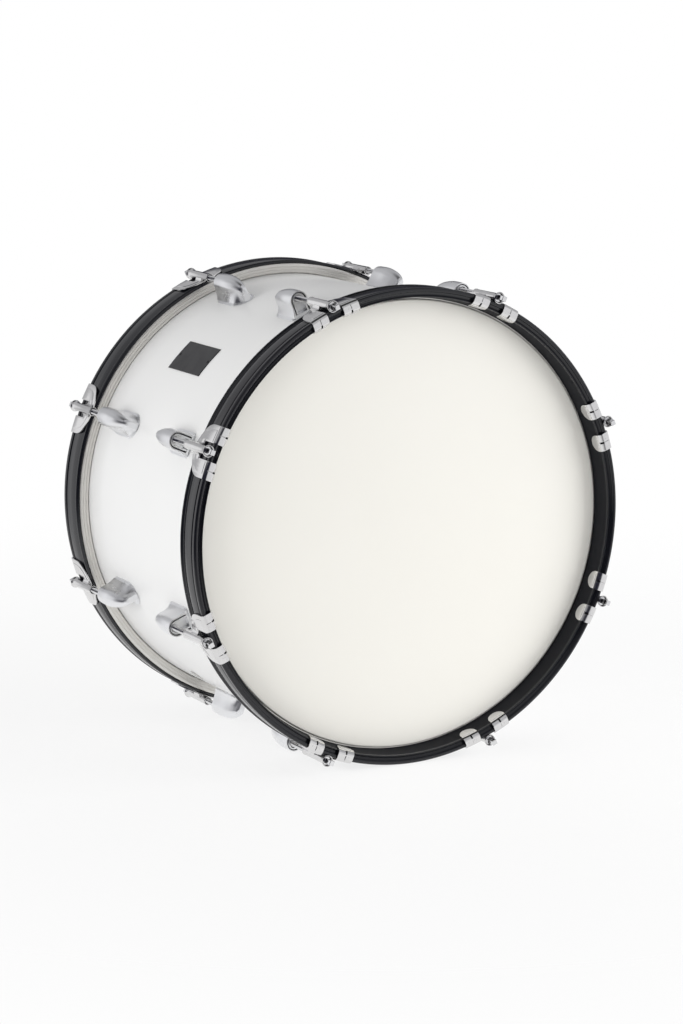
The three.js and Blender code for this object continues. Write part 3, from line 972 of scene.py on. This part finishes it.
# Collar: radius, and reach past its seat, and the square key on it
COLLAR = (
    (ROD_SIZE, -0.8), (3.3, 0.3), (4.4, 0.35), (4.6, 0.6), (4.6, 1.5), (4.3, 1.9), (3.6, 2.0),
    (0, 2.1))
KEY_HALF = 2.9
KEY_START = KEY_SEAT + 1.6
KEY_END = KEY_SEAT + 15.0


def model_thread():
    """Cut thread of the rod's inner end, one pitch drawn, screwed along and closed."""
    points = [Vector((radius, 0, -share * THREAD_PITCH)) * MM for radius, share in TOOTH_SHARES]
    thread = draw("thread", points)
    bpy.ops.object.mode_set(mode="OBJECT")
    modifier = thread.modifiers.new("thread", "SCREW")
    modifier.axis = "Z"
    modifier.screw_offset = -THREAD_PITCH * MM
    modifier.steps = THREAD_STEPS
    modifier.render_steps = THREAD_STEPS
    modifier.iterations = THREAD_TURNS
    modifier.use_merge_vertices = True
    modifier.merge_threshold = MERGE
    bpy.ops.object.modifier_apply(modifier=modifier.name)
    to_rod = Matrix.Translation(at(ROD_AXIS, THREAD_START))
    thread.data.transform(to_rod @ Matrix.Rotation(math.radians(-90), 4, "X"))
    take(thread)
    bpy.ops.object.mode_set(mode="EDIT")
    fill_ends()
    tidy_mesh(28)
    return thread


def model_rod():
    """Rod with its thread, plain shank, collar and square key head."""
    tip = round_rod("tip", [(radius, THREAD_START + past) for radius, past in TIP])
    shank_section = [(radius, THREAD_END + past) for radius, past in SHANK_START]
    shank_section += [(radius, KEY_SEAT + past) for radius, past in COLLAR]
    shank = round_rod("shank", shank_section)
    key = block(
        "key", (ROD_AXIS - KEY_HALF, KEY_START, -KEY_HALF),
        (ROD_AXIS + KEY_HALF, KEY_END, KEY_HALF))
    soften(key, width=0.6, segments=3)
    return gather(model_thread(), shank, tip, key)


# Lugs


# Hood: its base, and the height of its sides and the width of its crown at the mouth
HOOD_BASE = 255.8
HOOD_SIDE = 17.0
HOOD_WIDTH = 10.6
HOOD_LENGTH = 52.0
HOOD_STEPS = 26
STEP_POWER = 0.8
CROWN_STEPS = 28

# Swelling of its width and height: the share gained, and the share of its length that swells
WIDTH_SWELL_SHARES = (0.05, 0.7)
HEIGHT_SWELL_SHARES = (0.02, 0.6)

# Where it starts to narrow, and its losses: the share lost at the nose, and the power it grows by
NARROW_SHARE = 0.3
WIDTH_LOSS_SHARES = (0.56, 2.2)
SIDE_LOSS_SHARES = (0.24, 2)
HEIGHT_LOSS_SHARES = (0.31, 3.6)

# Flared skirt: its radius round the nose's centre, its least flare, shares up the side and power
SKIRT = 13.2
SKIRT_LEAST = 0.4
NOSE_CENTRE = 59.6
WALL_SHARES = (0, 0.06, 0.14, 0.24, 0.38, 0.56, 0.78)
FLARE_POWER = 2.4

# Rounding of the nose: distance past it, and shares of the last width and height
NOSE_SECTIONS = ((0.9, 0.86, 0.93), (1.9, 0.62, 0.74))

# Pocket, liner and its recess: base, side and half width of each arch, and their depths
POCKET_ARCH = (258.4, 14.6, 9.3)
POCKET_DEPTH = 24.0
LINER_ARCH = (256.4, 17.0, 7.7)
LINER_INSET = 0.5
LINER_DEPTH = 20.0
RECESS_ARCH = (258.6, 14.8, 5.7)
RECESS_DEPTH = 5.5

# Bore for the nut and the nut: radius and reach past the lug's mouth
BORE = ((0, -17), (4.4, -17), (4.4, 2), (0, 2))
NUT = (
    (3.1, -13), (4.1, -13), (4.2, -12.6), (4.2, -3.8), (4.05, -3.4), (3.9, -3.4), (3.8, -3.7),
    (3.75, -4.4), (3.65, -4.4), (3.55, -3.4), (3.4, -3), (3.2, -3), (3.1, -3.4))

# Base plate: half width, reach past the mouth, corners, and each step's inset, underside and top
PLATE_HALF = 14.8
PLATE_PAST = 0.6
PLATE_CORNER = 6.0
PLATE_STEPS = ((0, 0, 1.5), (0.6, 1.2, 2.3), (1.2, 2.0, 3.0))

# Slot across the plate: heights over its seat, reaches past the mouth and half width
GROOVE_HEIGHTS = (1.8, 5.6)
GROOVE_PAST = (-4.0, -2.7)
GROOVE_HALF = 8.8

# Screw with its washer: radius and height over the shell's inside
SCREW = (
    (0, -6.1), (2.6, -5.9), (4.2, -5.1), (4.9, -3.8), (4.9, -2.4), (6.2, -2.1), (6.2, -0.6),
    (2.3, -0.55), (2.3, 8.0), (0, 8.0))


def arch(base, side, width):
    """Outline of (across, out): straight sides with a half-round crown."""
    crown = arc(0, base + side, width, 0, 180, SMALL_STEPS)
    wall = [(width, base), (width, base + side / 2)]
    return wall + crown + [(-across, out) for across, out in reversed(wall)]


def arch_slab(name, shape, start, depth):
    """An arch extruded back into the lug from a reach."""
    outline = [spot(out, start, across) for across, out in arch(*shape)]
    return slab(name, outline, (0, -depth, 0))


def swell(along, gain, span):
    """A slight swelling that has faded by a share of the hood's length."""
    return gain * math.sin(math.pi * min(1.0, along / span))


def left(along, loss, power):
    """What is left of a size along the way to the nose."""
    return 1 - loss * along ** power


def hood_outline(along):
    """Outline of the hood at a share of its length: a round crown on sides that flare out."""
    narrow = max(0.0, (along - NARROW_SHARE) / (1 - NARROW_SHARE))
    crown = HOOD_WIDTH * (1 + swell(along, *WIDTH_SWELL_SHARES))
    crown *= left(narrow, *WIDTH_LOSS_SHARES)
    side = HOOD_SIDE * left(narrow, *SIDE_LOSS_SHARES)
    total = (HOOD_SIDE + HOOD_WIDTH) * (
        left(along, *HEIGHT_LOSS_SHARES) + swell(along, *HEIGHT_SWELL_SHARES))
    past = max(0.0, NOSE_CENTRE - (LUG_MOUTH - along * HOOD_LENGTH))
    skirt = max(crown + SKIRT_LEAST, math.sqrt(max(0.0, SKIRT ** 2 - past ** 2)))
    wall = [(crown + (skirt - crown) * (1 - share) ** FLARE_POWER, HOOD_BASE + side * share)
            for share in WALL_SHARES]
    turns = [math.pi * i / CROWN_STEPS for i in range(CROWN_STEPS + 1)]
    top = [(crown * math.cos(turn), HOOD_BASE + side + (total - side) * math.sin(turn))
           for turn in turns]
    return wall + top + [(-across, out) for across, out in reversed(wall)]


def model_hood():
    """Hood with a round crown that narrows to a keel over a flared skirt and a blunt nose."""
    shares = [(i / HOOD_STEPS) ** STEP_POWER for i in range(HOOD_STEPS + 1)]
    nose = LUG_MOUTH - HOOD_LENGTH
    outlines = [
        [spot(out, LUG_MOUTH - share * HOOD_LENGTH, across)
         for across, out in hood_outline(share)] for share in shares]
    for past, width, height in NOSE_SECTIONS:
        outlines.append([
            spot(HOOD_BASE + (out - HOOD_BASE) * height, nose - past, across * width)
            for across, out in hood_outline(1.0)])
    hood = loft("hood", outlines, angle=24)
    pocket = arch_slab("pocket", POCKET_ARCH, LUG_MOUTH + OVERRUN, POCKET_DEPTH + OVERRUN)
    combine(hood, pocket, "DIFFERENCE")
    return soften(hood, width=0.4, segments=3, angle=40)


def model_liner():
    """Bright inner arch with a rounded rim, that holds the nut in the hood's pocket."""
    mouth = LUG_MOUTH - LINER_INSET
    liner = arch_slab("liner", LINER_ARCH, mouth, LINER_DEPTH)
    recess = arch_slab("recess", RECESS_ARCH, mouth + OVERRUN, RECESS_DEPTH + OVERRUN)
    combine(liner, recess, "DIFFERENCE")
    bore = round_rod("bore", [(radius, LUG_MOUTH + past) for radius, past in BORE])
    combine(liner, bore, "DIFFERENCE")
    return soften(liner, width=0.9, segments=4, angle=60)


def model_nut():
    """Round nut with stepped rings at its face."""
    section = [(radius, LUG_MOUTH + past) for radius, past in NUT]
    return round_rod("nut", section, open_on_axis=False)


def plate_outline(inset):
    """Outline of the base plate, (across, reach): round corners at the mouth and a round nose."""
    half = PLATE_HALF - inset
    middle, corner_reach = half - PLATE_CORNER, LUG_MOUTH + PLATE_PAST - inset - PLATE_CORNER
    points = arc(middle, corner_reach, PLATE_CORNER, 90, 0, 10)
    points += arc(0, NOSE_CENTRE, half, 0, -180, 36)
    return points + arc(-middle, corner_reach, PLATE_CORNER, 180, 90, 10)


def model_plate():
    """Stepped base plate, with a slot across it at the mouth."""
    layers = []
    for inset, low, high in PLATE_STEPS:
        outline = [spot(LUG_SEAT + low, reach, across) for across, reach in plate_outline(inset)]
        layer = slab("plate", outline, (high - low, 0, 0))
        layers.append(soften(layer, width=0.3, angle=50))
    corners = [(LUG_SEAT + height, LUG_MOUTH + past, across) for height, past, across in zip(
        GROOVE_HEIGHTS, GROOVE_PAST, (-GROOVE_HALF, GROOVE_HALF))]
    combine(layers[-1], block("groove", *corners), "DIFFERENCE")
    return gather(*layers)


def model_screw(reach):
    """Screw through the shell with a pan head and washer inside."""
    section = [(radius, SHELL_INSIDE + height) for radius, height in SCREW]
    return round_post("screw", section, reach, SMALL_STEPS)


def model_lug():
    """Whole lug: hood, liner, nut, stepped plate and two screws."""
    screws = [model_screw(reach) for reach in SCREW_REACHES]
    return gather(model_hood(), model_liner(), model_nut(), model_plate(), *screws)


# Putting the drum together


def dress(piece, name, body, node, slot, materials):
    """Names a finished piece, gives it its finish and lets it stand for its node."""
    piece.name = name
    piece.data.name = name
    piece.data.materials.clear()
    piece.data.materials.append(materials[slot])
    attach(piece, body)
    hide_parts(node)


def place_body(materials):
    """Shell, badge and vent."""
    dress(model_shell(), "shell_look", "shell_body", "shell", "shell_lacquer", materials)
    dress(model_badge(), "badge_look", "shell_body", "badge_plate", "badge", materials)
    dress(model_vent(), "vent_look", "shell_body", "air_vent", "vent_metal", materials)


def place_rings(materials):
    """Heads, flesh hoops and counter hoops on both sides."""
    kinds = {
        "head": (model_head(), "head_film"),
        "flesh_hoop": (model_flesh_hoop(), "flesh_hoop_metal"),
        "hoop": (model_hoop(), "hoop_black"),
    }
    for kind, (master, slot) in kinds.items():
        for side in SIDES:
            piece = turned_copy(master, kind, 0, side)
            node = f"{side}_{kind}"
            dress(piece, f"{node}_look", f"{side}_hoop_assembly", node, slot, materials)
        bpy.data.objects.remove(master)


def place_hardware(materials):
    """Lugs, claws and rods at every station of both sides."""
    kinds = {
        "lug": (model_lug(), "lug_metal", "shell_body"),
        "claw": (model_claw(), "claw_metal", "{side}_hoop_assembly"),
        "tension_rod": (model_rod(), "rod_chrome", "{side}_rod_{station}"),
    }
    for kind, (master, slot, body) in kinds.items():
        for side in SIDES:
            for station in range(1, STATIONS + 1):
                piece = turned_copy(master, kind, station_turn(station), side)
                node = f"{side}_{kind}_{station}"
                rides = body.format(side=side, station=station)
                dress(piece, f"{node}_look", rides, node, slot, materials)
        bpy.data.objects.remove(master)


# Studio


# Strength of the plain light from all around
PLAIN_LIGHT = 0.53

# Grey levels that gloss sees, by degrees round from +X towards +Y, at the sides and above
GLOSS_AROUND = (
    (-180, 0.01), (-90, 0.02), (-70, 0.85), (28, 0.9), (44, 0.3), (56, 0.03), (72, 0.03),
    (80, 0.45), (92, 0.5), (106, 0.48), (112, 0.66), (115, 0.95), (142, 0.95), (154, 0.25),
    (163, 0.01), (180, 0.01))
GLOSS_ABOVE = (
    (-180, 0.5), (-150, 0.35), (-125, 0.15), (-100, 0.6), (-30, 0.5), (60, 0.46), (100, 0.5),
    (125, 0.55), (150, 0.3), (180, 0.5))

# Levels of the dark top and of the light from below
TOP_LEVEL = 0.04
BELOW_LEVEL = 0.85

# Shares of the view above, the dark top and the light below, from straight down to straight up
GLOSS_RISE = ((0.64, 0.0), (0.72, 1.0))
GLOSS_TOP = ((0.9, 0.0), (0.96, 1.0))
GLOSS_FALL = ((0.1, 1.0), (0.19, 0.5), (0.27, 0.0))

# What a ramp's blue has over its red and green
RAMP_BLUE = 0.012

# Lamps: place and size in metres, and watts
LAMPS = {
    "key_light": ((-3.3, -0.9, 0.6), 2.2, 50),
    "fill_light": ((2.0, -1.3, 0.5), 2.0, 44),
    "back_light": ((1.4, 3.0, 1.2), 2.4, 26),
}

# Floor: its radius and where it fades out, in metres, its grey, and its lift towards white
FLOOR_RADIUS = 1.6
FLOOR_SIDES = 96
FADE_START = 0.45
FADE_END = 1.5
FLOOR_LEVEL = 0.93
FLOOR_LIFT = 0.8


def ramp(tree, share, stops):
    """A colour ramp of grey levels with a slight blue, along a share."""
    node = add_node(tree, "ValToRGB", {"Fac": share})
    elements = node.color_ramp.elements
    while len(elements) < len(stops):
        elements.new(1.0)
    for element, (place, level) in zip(elements, stops):
        element.position = place
        element.color = (level, level, min(1.0, level + RAMP_BLUE), 1)
    return node.outputs["Color"]


def any_ray(tree, first, second):
    """1 for the rays of two kinds and 0 for others."""
    rays = add_node(tree, "LightPath").outputs
    kinds = {0: rays[f"Is {first} Ray"], 1: rays[f"Is {second} Ray"]}
    return add_node(tree, "Math", kinds, operation="MAXIMUM").outputs["Value"]


def mix_shaders(tree, share, first, second):
    """Goes from one shader to another by a share."""
    return add_node(tree, "MixShader", {"Fac": share, 1: first, 2: second}).outputs["Shader"]


def background(tree, color, strength=1.0):
    """Light of a colour from all around."""
    return add_node(
        tree, "Background", {"Color": color, "Strength": strength}).outputs["Background"]


def view_shares(tree):
    """How far round a view goes, from -X, and how far up, from straight down, as shares."""
    place = add_node(tree, "TexCoord").outputs["Generated"]
    split = add_node(tree, "SeparateXYZ", {"Vector": place}).outputs
    turn = add_node(tree, "Math", {0: split["Y"], 1: split["X"]}, operation="ARCTAN2")
    around = add_node(tree, "MapRange", {
        "Value": turn.outputs["Value"], "From Min": -math.pi, "From Max": math.pi})
    height = add_node(tree, "MapRange", {"Value": split["Z"], "From Min": -1.0})
    return around.outputs["Result"], height.outputs["Result"]


def gloss_color(tree):
    """A studio's bright and dark sides, with other greys above, a dark top and a pale floor."""
    around, height = view_shares(tree)
    color, above = (
        ramp(tree, around, [((degrees + 180) / 360, level) for degrees, level in greys])
        for greys in (GLOSS_AROUND, GLOSS_ABOVE))
    layers = ((above, GLOSS_RISE), (grey(TOP_LEVEL), GLOSS_TOP), (grey(BELOW_LEVEL), GLOSS_FALL))
    for layer, stops in layers:
        mixed = {"Factor": ramp(tree, height, stops), "A": color, "B": layer}
        color = add_node(tree, "Mix", mixed, data_type="RGBA").outputs["Result"]
    return color


def studio_world():
    """White to the camera, plain light on the object, and a studio with dark sides in gloss."""
    world = bpy.data.worlds.new("studio")
    bpy.context.scene.world = world
    world.use_nodes = True
    tree = world.node_tree
    tree.nodes.clear()
    glossy = add_node(tree, "LightPath").outputs["Is Glossy Ray"]
    lit = mix_shaders(
        tree, glossy, background(tree, grey(1), PLAIN_LIGHT),
        background(tree, gloss_color(tree)))
    seen = any_ray(tree, "Camera", "Transmission")
    surface = mix_shaders(tree, seen, lit, background(tree, grey(1)))
    add_node(tree, "OutputWorld", {"Surface": surface})


def softbox(name, place, size, watts):
    """A large soft lamp aimed at the drum, which neither gloss nor the camera shows."""
    lamp = bpy.data.lights.new(name, "AREA")
    lamp.shape = "DISK"
    lamp.size = size
    lamp.energy = watts
    stand = bpy.data.objects.new(name, lamp)
    bpy.context.scene.collection.objects.link(stand)
    stand.location = place
    stand.rotation_euler = Vector(place).to_track_quat("Z", "Y").to_euler()
    stand.visible_glossy = False
    stand.visible_camera = False


def floor_fade(tree):
    """0 near the drum, going to 1 at the floor's edge."""
    distance = add_node(tree, "VectorMath", {0: object_place(tree)}, operation="LENGTH")
    fade = {"Value": distance.outputs["Value"], "From Min": FADE_START, "From Max": FADE_END}
    return add_node(
        tree, "MapRange", fade, interpolation_type="SMOOTHSTEP").outputs["Result"]


def floor_material():
    """Pale with the drum's shadow, lifted towards white for the eye and gloss, clear far out."""
    material = bpy.data.materials.new("floor")
    material.use_nodes = True
    tree = material.node_tree
    tree.nodes.clear()
    pale = add_node(tree, "BsdfDiffuse", {"Color": grey(FLOOR_LEVEL)}).outputs["BSDF"]
    white = add_node(tree, "Emission", {"Color": grey(1)}).outputs["Emission"]
    clear = add_node(tree, "BsdfTransparent").outputs["BSDF"]
    lift = add_node(
        tree, "Math", {0: any_ray(tree, "Camera", "Glossy"), 1: FLOOR_LIFT},
        operation="MULTIPLY")
    near = mix_shaders(tree, lift.outputs["Value"], pale, white)
    surface = mix_shaders(tree, floor_fade(tree), near, clear)
    add_node(tree, "OutputMaterial", {"Surface": surface})
    return material


def studio_floor():
    """Pale floor under the drum that keeps its shadow and runs out into the white around."""
    leave_edit()
    bpy.ops.mesh.primitive_circle_add(
        vertices=FLOOR_SIDES, radius=FLOOR_RADIUS, fill_type="NGON",
        location=(0, 0, FLOOR_HEIGHT))
    floor = bpy.context.object
    floor.name = "floor"
    floor.data.materials.append(floor_material())


def photo_camera():
    """Camera at the photograph's place, angle and framing."""
    azimuth, elevation, roll = (
        math.radians(angle) for angle in (CAMERA_AZIMUTH, CAMERA_ELEVATION, CAMERA_ROLL))
    ahead = Vector((
        math.sin(azimuth) * math.cos(elevation), math.cos(azimuth) * math.cos(elevation),
        -math.sin(elevation)))
    right = ahead.cross(Vector((0, 0, 1))).normalized()
    up = right.cross(ahead)
    across = right * math.cos(roll) + up * math.sin(roll)
    upward = up * math.cos(roll) - right * math.sin(roll)
    lens = bpy.data.cameras.new("camera")
    lens.lens = CAMERA_LENS
    lens.sensor_width = CAMERA_SENSOR
    lens.shift_x, lens.shift_y = CAMERA_SHIFT
    lens.clip_end = CAMERA_FAR
    camera = bpy.data.objects.new("camera", lens)
    bpy.context.scene.collection.objects.link(camera)
    turn = Matrix((across, upward, -ahead)).transposed().to_4x4()
    camera.matrix_world = Matrix.Translation(-ahead * CAMERA_DISTANCE) @ turn
    bpy.context.scene.camera = camera


def main():
    """Loads the frame, models and places every piece, and sets up the studio."""
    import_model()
    materials = make_materials()
    place_body(materials)
    place_rings(materials)
    place_hardware(materials)
    studio_world()
    for name, (place, size, watts) in LAMPS.items():
        softbox(name, place, size, watts)
    studio_floor()
    photo_camera()
    bpy.context.scene.view_settings.view_transform = "Standard"


main()
